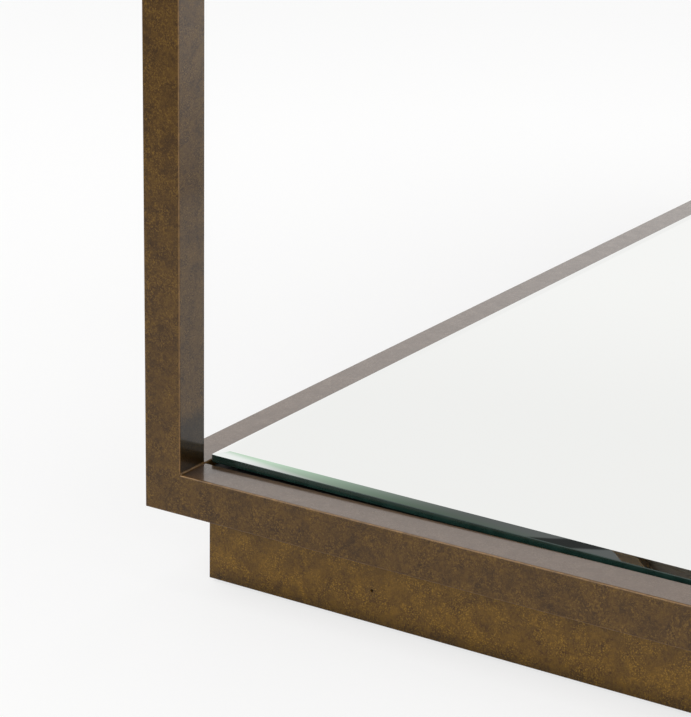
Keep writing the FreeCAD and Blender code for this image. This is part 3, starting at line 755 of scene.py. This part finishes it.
def makeTackWelds():
    # lumps of weld where the ledges are tacked to the short rails, close to the posts
    def build(work):
        for level in ("base", "top"):
            for side in ("left", "right"):
                low, high = corners(f"{level}_rail_{side}")
                x = high.x if side == "left" else low.x
                for y in (low.y + tackWeld["fromPost"], high.y - tackWeld["fromPost"]):
                    addTack(work, Vector((x, y, high.z - tackWeld["drop"])))

    def addTack(work, middle):
        ball = bmesh.ops.create_icosphere(work, subdivisions=3, radius=1.0)
        for vert in ball["verts"]:
            # a different stretch of the noise for each tack
            lump = 1.0 + tackWeld["lump"] * noise.noise(vert.co * tackWeld["lumpScale"] + middle * 100)
            vert.co = middle + Vector(c * s * lump for c, s in zip(vert.co, tackWeld["size"] / 2))

    makePiece("tackWelds", meshFrom("tackWelds", build, 80.0), (agedBrass,), "table")


makeWelds()
makeTackWelds()
print("welds built")

drawerKnob = {
    "segments": 64,
    "profile": [  # radius, distance from the drawer's face, in millimetres
        (7.0, 0.0), (7.5, 0.4), (7.5, 1.5), (7.1, 2.0), (5.2, 2.2), (4.6, 2.9),  # the foot
        (4.4, 4.5), (4.5, 7.6), (5.4, 9.2),  # the neck
        (7.6, 10.6), (8.7, 11.5), (9.0, 12.5), (9.0, 14.2), (8.7, 15.2), (7.6, 16.3),  # the head
        (5.4, 17.3), (2.8, 17.85), (0.4, 18.0),
    ],
}


def makeDrawerKnob(side):
    node = f"drawer_{side}_knob"
    low, high = corners(node)
    middle = (low + high) / 2
    faceY = corners(f"drawer_{side}_mirror_face")[0].y
    place = Matrix.Translation((middle.x, faceY, middle.z)) @ Matrix.Rotation(math.radians(90), 4, "X")
    profile = [(radius * mm, height * mm) for radius, height in drawerKnob["profile"]]
    name = f"drawerKnob_{side}"
    mesh = meshFrom(name, lambda work: lathe(work, profile, place, drawerKnob["segments"]), 40.0)
    makePiece(name, mesh, (lacqueredBrass,), f"drawer_{side}", (node,))


for side in ("left", "right"):
    makeDrawerKnob(side)

tiltKnob = {
    "radius": 12 * mm,
    "thick": 13 * mm,
    "knurls": 48,
    "knurlDepth": 0.5 * mm,
    "chamfer": 1.2 * mm,
    "dish": 1.0 * mm,
    "pin": 4 * mm,
    "pinIntoFrame": 1.4 * mm,
    "pinIntoKnob": 1 * mm,
    "collar": 9 * mm,
    "collarEdge": 0.5 * mm,
    "collarGap": 0.2 * mm,  # between the collar and the upright
}


def addHandKnob(work, start, matrix):
    # knurled round its rim, with a shallow dish in its outer face
    radius, cut, thick, chamfer = (tiltKnob[key] for key in ("radius", "knurlDepth", "thick", "chamfer"))
    levels = [  # radius, height, share of the knurls' depth
        (radius - chamfer - cut, 0.0, 0.0),
        (radius - cut, chamfer * 0.8, 0.3),
        (radius, chamfer, 1.0),
        (radius, thick - chamfer, 1.0),
        (radius - cut, thick - chamfer * 0.8, 0.3),
        (radius - chamfer - cut, thick, 0.0),
        (radius - 2.6 * chamfer, thick, 0.0),
        (radius - 3.0 * chamfer, thick - tiltKnob["dish"], 0.0),
    ]
    rings = []
    for reach, height, depth in levels:
        def knurled(angle):
            return reach - cut * depth * (0.5 - 0.5 * math.cos(angle * tiltKnob["knurls"]))

        rings.append(ringAt(work, matrix, roundTurn(tiltKnob["knurls"] * 4, knurled), start + height))
    bridge(work, rings)


def makeTiltPivots():
    # pin, collar and a knurled hand knob on each side of the tilting mirror
    frameSide = corners("mirror_frame")[1].x
    low, high = corners("mirror_pivots")
    centre = Vector((0, (low.y + high.y) / 2, (low.z + high.z) / 2))
    knobStart = high.x - tiltKnob["thick"]
    collar, edge, pin = (tiltKnob[key] for key in ("collar", "collarEdge", "pin"))
    collarEnd = corners("upright_right")[0].x - tiltKnob["collarGap"]
    pinProfile = [(pin, frameSide - tiltKnob["pinIntoFrame"]), (pin, knobStart + tiltKnob["pinIntoKnob"])]
    collarProfile = [
        (collar - edge, frameSide),
        (collar, frameSide + edge),
        (collar, collarEnd - edge),
        (collar - edge, collarEnd),
    ]

    def build(work):
        for turn in (-90, 90):
            matrix = Matrix.Translation(centre) @ Matrix.Rotation(math.radians(turn), 4, "Y")
            lathe(work, pinProfile, matrix, 40)
            lathe(work, collarProfile, matrix, 48)
            addHandKnob(work, knobStart, matrix)

    mesh = meshFrom("tiltPivots", build, 35.0)
    makePiece("tiltPivots", mesh, (lacqueredBrass,), "mirror", ("mirror_pivots",))


makeTiltPivots()


def addSocketScrew(work, matrix, look):
    # a low domed head with a hexagonal socket; local Z points out of the head, its seat at zero
    head, height = look["headRadius"], look["headHeight"]
    profile = [(0.94, 0.0), (1.0, 0.12), (0.985, 0.45), (0.90, 0.74), (0.74, 0.93), (0.55, 1.0)]
    segments = 48

    def hexagonal(angle):
        fromFlat = (angle + math.pi / 6) % (math.pi / 3) - math.pi / 6
        return look["socketRadius"] / math.cos(fromFlat)

    rings = []
    for radius, up in profile:
        rings.append(ringAt(work, matrix, roundTurn(segments, lambda angle: head * radius), height * up))
    for up in (height, height - look["socketDepth"]):
        rings.append(ringAt(work, matrix, roundTurn(segments, hexagonal), up))
    bridge(work, rings)


footScrew = {
    "headRadius": 4.6 * mm,
    "headHeight": 2.4 * mm,
    "socketRadius": 1.5 * mm,
    "socketDepth": 1.5 * mm,
    "shank": 2.5 * mm,
    "turnPerMetre": 40.0,  # radians, so that no two sockets stand alike
}


def makeFootScrews():
    low, high = corners("upright_foot_screws")
    plateTop = corners("upright_foot_plates")[1].z
    uprightLow, uprightHigh = corners("upright_right")
    y = (low.y + high.y) / 2
    outer = high.x - footScrew["headRadius"]
    inner = uprightLow.x + uprightHigh.x - outer
    shank = footScrew["shank"]

    def build(work):
        for x in (-outer, -inner, inner, outer):
            turn = Matrix.Rotation(x * footScrew["turnPerMetre"], 4, "Z")
            matrix = Matrix.Translation((x, y, plateTop)) @ turn
            addSocketScrew(work, matrix, footScrew)
            lathe(work, [(shank, low.z - plateTop), (shank, 0.0)], matrix, 24)

    mesh = meshFrom("footScrews", build, 30.0)
    makePiece("footScrews", mesh, (lacqueredBrass,), "table", ("upright_foot_screws",))


makeFootScrews()
print("knobs, pivots and screws built")

drawerLiner = {"thick": 1.2 * mm, "inset": 0.4 * mm, "cornerRadius": 1.5 * mm, "edge": 0.3 * mm}


def makeDrawerLiner(side):
    bottomLow, bottomHigh = corners(f"drawer_{side}_bottom")
    backLow = corners(f"drawer_{side}_back")[0]
    inset, edge = drawerLiner["inset"], drawerLiner["edge"]
    low = Vector((bottomLow.x + inset, bottomLow.y + inset, bottomHigh.z))
    high = Vector((bottomHigh.x - inset, backLow.y - inset, bottomHigh.z + drawerLiner["thick"]))
    half = (high - low) / 2
    place = Matrix.Translation((low.x + half.x, low.y + half.y, 0))

    def build(work):
        rings = []
        for step, z in ((0, low.z), (0, high.z - edge), (edge, high.z)):
            outline = roundedOutline(half.x - step, half.y - step, drawerLiner["cornerRadius"], 4)
            rings.append(ringAt(work, place, outline, z))
        bridge(work, rings)

    name = f"drawerLiner_{side}"
    makePiece(name, meshFrom(name, build, 40.0), (linerFelt,), f"drawer_{side}")


slideScrew = {
    "headRadius": 3.4 * mm,
    "headHeight": 0.7 * mm,
    "socketRadius": 1.1 * mm,
    "socketDepth": 0.5 * mm,
    "places": (0.1, 0.5, 0.9),  # shares of the slide bar's length
}


def makeSlideScrews(side):
    # seen from inside the drawer: the heads that hold the slide bars to its sides
    low, high = corners(f"drawer_{side}_slide_bars")
    z = (low.z + high.z) / 2
    leftInside = corners(f"drawer_{side}_side_left")[1].x
    rightInside = corners(f"drawer_{side}_side_right")[0].x

    def build(work):
        for x, turn in ((leftInside, 90), (rightInside, -90)):
            for share in slideScrew["places"]:
                place = Vector((x, low.y + share * (high.y - low.y), z))
                matrix = Matrix.Translation(place) @ Matrix.Rotation(math.radians(turn), 4, "Y")
                addSocketScrew(work, matrix, slideScrew)

    name = f"slideScrews_{side}"
    makePiece(name, meshFrom(name, build, 30.0), (zincPlate,), f"drawer_{side}")


for side in ("left", "right"):
    makeDrawerLiner(side)
for side in ("left", "right"):
    makeSlideScrews(side)
print("drawer details built")

turnClip = {
    "length": 26 * mm,
    "width": 9 * mm,
    "thick": 1.2 * mm,
    "edge": 0.25 * mm,
    "fromCorner": 90 * mm,
    "clear": 1 * mm,  # from the clip's end to the edge of the board
}
clipScrew = {
    "headRadius": 3.2 * mm,
    "headHeight": 1.4 * mm,
    "socketRadius": 1.0 * mm,
    "socketDepth": 0.9 * mm,
}


def makeMirrorClips():
    # flat brass turn clips that press the back board in, each with one screw
    low, high = corners("mirror_back_board")
    edge, thick = turnClip["edge"], turnClip["thick"]
    facingBack = Matrix.Rotation(math.radians(-90), 4, "X")

    def addClip(work, x, z, degrees):
        turn = Matrix.Rotation(math.radians(degrees), 4, "Z")
        matrix = Matrix.Translation((x, high.y, z)) @ facingBack @ turn
        rings = []
        for step, height in ((edge, 0.0), (0.0, edge), (0.0, thick - edge), (edge, thick)):
            halfU, halfV = turnClip["length"] / 2 - step, turnClip["width"] / 2 - step
            rings.append(ringAt(work, matrix, roundedOutline(halfU, halfV, halfV - 0.2 * mm, 8), height))
        bridge(work, rings)
        addSocketScrew(work, matrix @ Matrix.Translation((0, 0, thick)), clipScrew)

    def build(work):
        away = turnClip["fromCorner"]
        inside = turnClip["length"] / 2 + turnClip["clear"]
        for x in (low.x + away, high.x - away):
            for z in (low.z + inside, high.z - inside):
                addClip(work, x, z, 90)
        for z in (low.z + away, high.z - away):
            for x in (low.x + inside, high.x - inside):
                addClip(work, x, z, 0)

    mesh = meshFrom("mirrorClips", build, 30.0)
    makePiece("mirrorClips", mesh, (lacqueredBrass,), "mirror")


makeMirrorClips()
print("mirror back built")

studio = {
    "backdrop": 1.0,  # what the camera itself sees behind the table
    "horizon": 0.90,  # the pale surround, up to the turn-over height
    "band": 0.05,  # a brighter band of it, between these sines of the elevation
    "bandEdges": (0.17, 0.21, 0.27, 0.35),
    "dimSide": -37.0,  # degrees round from +X of the room's dim side, its half width and its share
    "dimWidth": 45.0,
    "dimShare": 0.62,
    "upper": 0.165,  # the dim upper part of the room
    "turnLow": 0.40,  # sine of the elevation where the surround starts to dim
    "turnHigh": 0.53,
    "panelFrom": 33.5,  # degrees round from +X where the light wall starts, and where it is full
    "panelTo": 41.2,
    "panelEase": 2.1,
    "panelEnd": 175.0,
    "panelFade": 15.0,
    "panel": 0.96,
    "flag": (29.3, 30.9),  # degrees round from +X of a narrow black flag high in the room
    "flagShade": 0.25,
    "flagBlur": 0.15,
}


def makeSurround():
    world = bpy.data.worlds.new("paleStudio")
    scene.world = world
    world.use_nodes = True
    tree = world.node_tree
    ground = tree.nodes["Background"]
    where = addNode(tree, "ShaderNodeTexCoord", -1400, 0)
    split = addNode(tree, "ShaderNodeSeparateXYZ", -1200, 0)
    wire(tree, where.outputs["Generated"], split.inputs[0])
    sine = split.outputs["Z"]
    turn = mathNode(tree, "ARCTAN2", split.outputs["Y"], split.outputs["X"], x=-1000, y=-100)
    degrees = mathNode(tree, "MULTIPLY", turn, 180 / math.pi, x=-850, y=-100)

    def degreesFrom(middle, y):
        apart = mathNode(tree, "SUBTRACT", degrees, middle, x=-650, y=y)
        return mathNode(tree, "ABSOLUTE", apart, x=-500, y=y)

    # the upper room: dim, but for the light wall with the flag at its start
    ease = remap(tree, degrees, studio["panelFrom"], studio["panelTo"], x=-650, y=-60, smooth=False)
    starts = mathNode(tree, "POWER", ease, studio["panelEase"], x=-500, y=-60)
    panelEnd, upperShade = studio["panelEnd"], studio["upper"]
    ends = remap(tree, degrees, panelEnd - studio["panelFade"], panelEnd, 1.0, 0.0, -650, -300)
    panel = mathNode(tree, "MULTIPLY", starts, ends, x=-350, y=-150)
    upper = mathNode(tree, "MULTIPLY_ADD", panel, studio["panel"] - upperShade, upperShade, -200, -100)
    flagLow, flagHigh = studio["flag"]
    flagHalf, blur = (flagHigh - flagLow) / 2, studio["flagBlur"]
    fromFlag = degreesFrom((flagLow + flagHigh) / 2, -500)
    flag = remap(tree, fromFlag, flagHalf - blur, flagHalf + blur, studio["flagShade"], 1.0, -350, -500)
    upper = mathNode(tree, "MULTIPLY", upper, flag, x=-50, y=-200)

    # the lower room: pale, a little brighter in one band and dimmer on one side
    riseFrom, riseTo, fallFrom, fallTo = studio["bandEdges"]
    rises = remap(tree, sine, riseFrom, riseTo, x=-650, y=400)
    falls = remap(tree, sine, fallFrom, fallTo, studio["band"], 0.0, -650, 600)
    lower = mathNode(tree, "MULTIPLY_ADD", rises, falls, studio["horizon"], -450, 450)
    fromDim, dimWidth = degreesFrom(studio["dimSide"], 800), studio["dimWidth"]
    dim = remap(tree, fromDim, dimWidth * 0.5, dimWidth, studio["dimShare"], 1.0, -350, 800)
    lower = mathNode(tree, "MULTIPLY", lower, dim, x=-300, y=450)

    high = remap(tree, sine, studio["turnLow"], studio["turnHigh"], x=-900, y=150)
    low = mathNode(tree, "SUBTRACT", 1.0, high, x=-650, y=200)
    lower = mathNode(tree, "MULTIPLY", low, lower, x=-150, y=300)
    room = mathNode(tree, "MULTIPLY_ADD", high, upper, lower, 100, 100)
    path = addNode(tree, "ShaderNodeLightPath", -50, 400)
    seen = addNode(tree, "ShaderNodeMix", 300, 200, data_type="FLOAT")
    wire(tree, path.outputs["Is Camera Ray"], seen.inputs[0])
    wire(tree, room, seen.inputs[2])
    seen.inputs[3].default_value = studio["backdrop"]
    wire(tree, seen.outputs[0], ground.inputs["Strength"])
    ground.inputs["Color"].default_value = (1.0, 1.0, 0.995, 1.0)


floorLook = {
    "reach": 20.0,
    "pale": (0.86, 0.86, 0.855),
    "cloudShare": 0.99,
    "glow": 0.72,  # how far the camera sees the floor by the table as plain white
    "plain": (1.0, 5.0),  # metres out over which it turns wholly white and meets the backdrop
    "darkSide": (-0.8, 0.6, 0.0),  # the way in which polished faces mirror the floor darker and darker
    "near": 0.55,  # the share of its paleness that they mirror beside the table, and how it falls that way
    "fall": (-0.3, 2.0),
    "far": 0.08,
    "bright": 0.98,  # the same on the other side, which the upright mirror faces, and how it rises
    "rise": (-1.6, -0.4),
}


def makeFloor():
    reach = floorLook["reach"]
    mesh = bpy.data.meshes.new("paleFloor")
    square = [(-reach, -reach, 0), (reach, -reach, 0), (reach, reach, 0), (-reach, reach, 0)]
    mesh.from_pydata(square, [], [(0, 1, 2, 3)])
    material, tree, shader, place = newMaterial("paleFloor", Roughness=0.8, Specular_IOR_Level=0.2)
    cloud = noiseNode(tree, place, 1.3, x=-900, y=100)
    clouded = tuple(c * floorLook["cloudShare"] for c in floorLook["pale"])
    pale = ramp(tree, cloud, [(0.3, clouded), (0.7, floorLook["pale"])], -650, 100)
    path = addNode(tree, "ShaderNodeLightPath", -900, -400)
    aside = addNode(tree, "ShaderNodeVectorMath", -900, -200, operation="DOT_PRODUCT")
    aside.inputs[1].default_value = floorLook["darkSide"]
    wire(tree, place, aside.inputs[0])
    distance, near = aside.outputs["Value"], floorLook["near"]
    fall = remap(tree, distance, *floorLook["fall"], near, floorLook["far"], -650, -200, smooth=False)
    rise = remap(tree, distance, *floorLook["rise"], floorLook["bright"] - near, 0.0, -650, -350)
    mirrored = mathNode(tree, "ADD", fall, rise, x=-500, y=-300)
    share = addNode(tree, "ShaderNodeMix", -400, -200, data_type="FLOAT")
    wire(tree, path.outputs["Is Glossy Ray"], share.inputs[0])
    share.inputs[2].default_value = 1.0
    wire(tree, mirrored, share.inputs[3])
    toned = addNode(tree, "ShaderNodeVectorMath", -150, 50, operation="SCALE")
    wire(tree, pale, toned.inputs[0])
    wire(tree, share.outputs[0], toned.inputs["Scale"])
    wire(tree, toned.outputs[0], shader.inputs["Base Color"])
    away = addNode(tree, "ShaderNodeVectorMath", 300, -500, operation="LENGTH")
    wire(tree, place, away.inputs[0])
    plain = remap(tree, away.outputs["Value"], *floorLook["plain"], floorLook["glow"], 1.0, 500, -500)
    glow = addNode(tree, "ShaderNodeEmission", 700, -700)
    glow.inputs["Color"].default_value = (1.0, 1.0, 1.0, 1.0)
    blend = addNode(tree, "ShaderNodeMixShader", 1000, -300)
    seenPlain = mathNode(tree, "MULTIPLY", path.outputs["Is Camera Ray"], plain, x=700, y=-500)
    for slot, source in enumerate((seenPlain, shader.outputs[0], glow.outputs[0])):
        wire(tree, source, blend.inputs[slot])
    wire(tree, blend.outputs[0], tree.nodes["Material Output"].inputs["Surface"])
    floor = bpy.data.objects.new("paleFloor", mesh)
    mesh.materials.append(material)
    scene.collection.objects.link(floor)


lamps = {
    # place, aimed at, width, height, watts
    "sideSoftbox": ((-1.6, 2.3, 2.6), (-0.45, 0.15, 0.05), 1.6, 1.2, 47.0),
    "overheadSoftbox": ((0.4, -0.6, 3.4), (0.0, 0.0, 0.4), 2.4, 1.8, 60.0),
    "frontFill": ((-2.6, -2.2, 1.5), (-0.2, 0.0, 0.4), 2.0, 1.4, 26.5),
}


def makeLamps():
    for name, (place, target, width, height, watts) in lamps.items():
        data = bpy.data.lights.new(name, "AREA")
        data.shape = "RECTANGLE"
        data.size = width
        data.size_y = height
        data.energy = watts
        lamp = bpy.data.objects.new(name, data)
        scene.collection.objects.link(lamp)
        lamp.visible_glossy = False  # the mirrors show the pale room, not the lamps
        lamp.location = place
        lamp.rotation_euler = (Vector(target) - Vector(place)).to_track_quat("-Z", "Y").to_euler()


viewpoint = {
    "fromCorner": (-0.9497, -0.7158, 0.4566),  # metres from the base frame's back left upper corner
    "azimuth": -58.59,
    "elevation": 18.12,
    "roll": 1.275,
    "lens": 108.6,
}


def makeCamera():
    # azimuth 0 looks along +Y; the roll turns the picture
    postLow, postHigh = corners("post_back_left")
    corner = Vector((postLow.x, postHigh.y, corners("base_rail_back")[1].z))
    azimuth, elevation, roll = (math.radians(viewpoint[key]) for key in ("azimuth", "elevation", "roll"))
    level = math.cos(elevation)
    back = Vector((math.sin(azimuth) * level, -math.cos(azimuth) * level, math.sin(elevation)))
    right = Vector((math.cos(azimuth), math.sin(azimuth), 0))
    up = back.cross(right)
    turnedRight = right * math.cos(roll) + up * math.sin(roll)
    turnedUp = up * math.cos(roll) - right * math.sin(roll)
    matrix = Matrix((turnedRight, turnedUp, back)).transposed().to_4x4()
    matrix.translation = corner + Vector(viewpoint["fromCorner"])
    data = bpy.data.cameras.new("viewCamera")
    data.lens = viewpoint["lens"]
    data.sensor_width = 36.0
    data.clip_start = 0.02
    camera = bpy.data.objects.new("viewCamera", data)
    scene.collection.objects.link(camera)
    camera.matrix_world = matrix
    scene.camera = camera


makeSurround()
makeFloor()
makeLamps()
makeCamera()
scene.view_settings.view_transform = "Standard"
print("stage built")
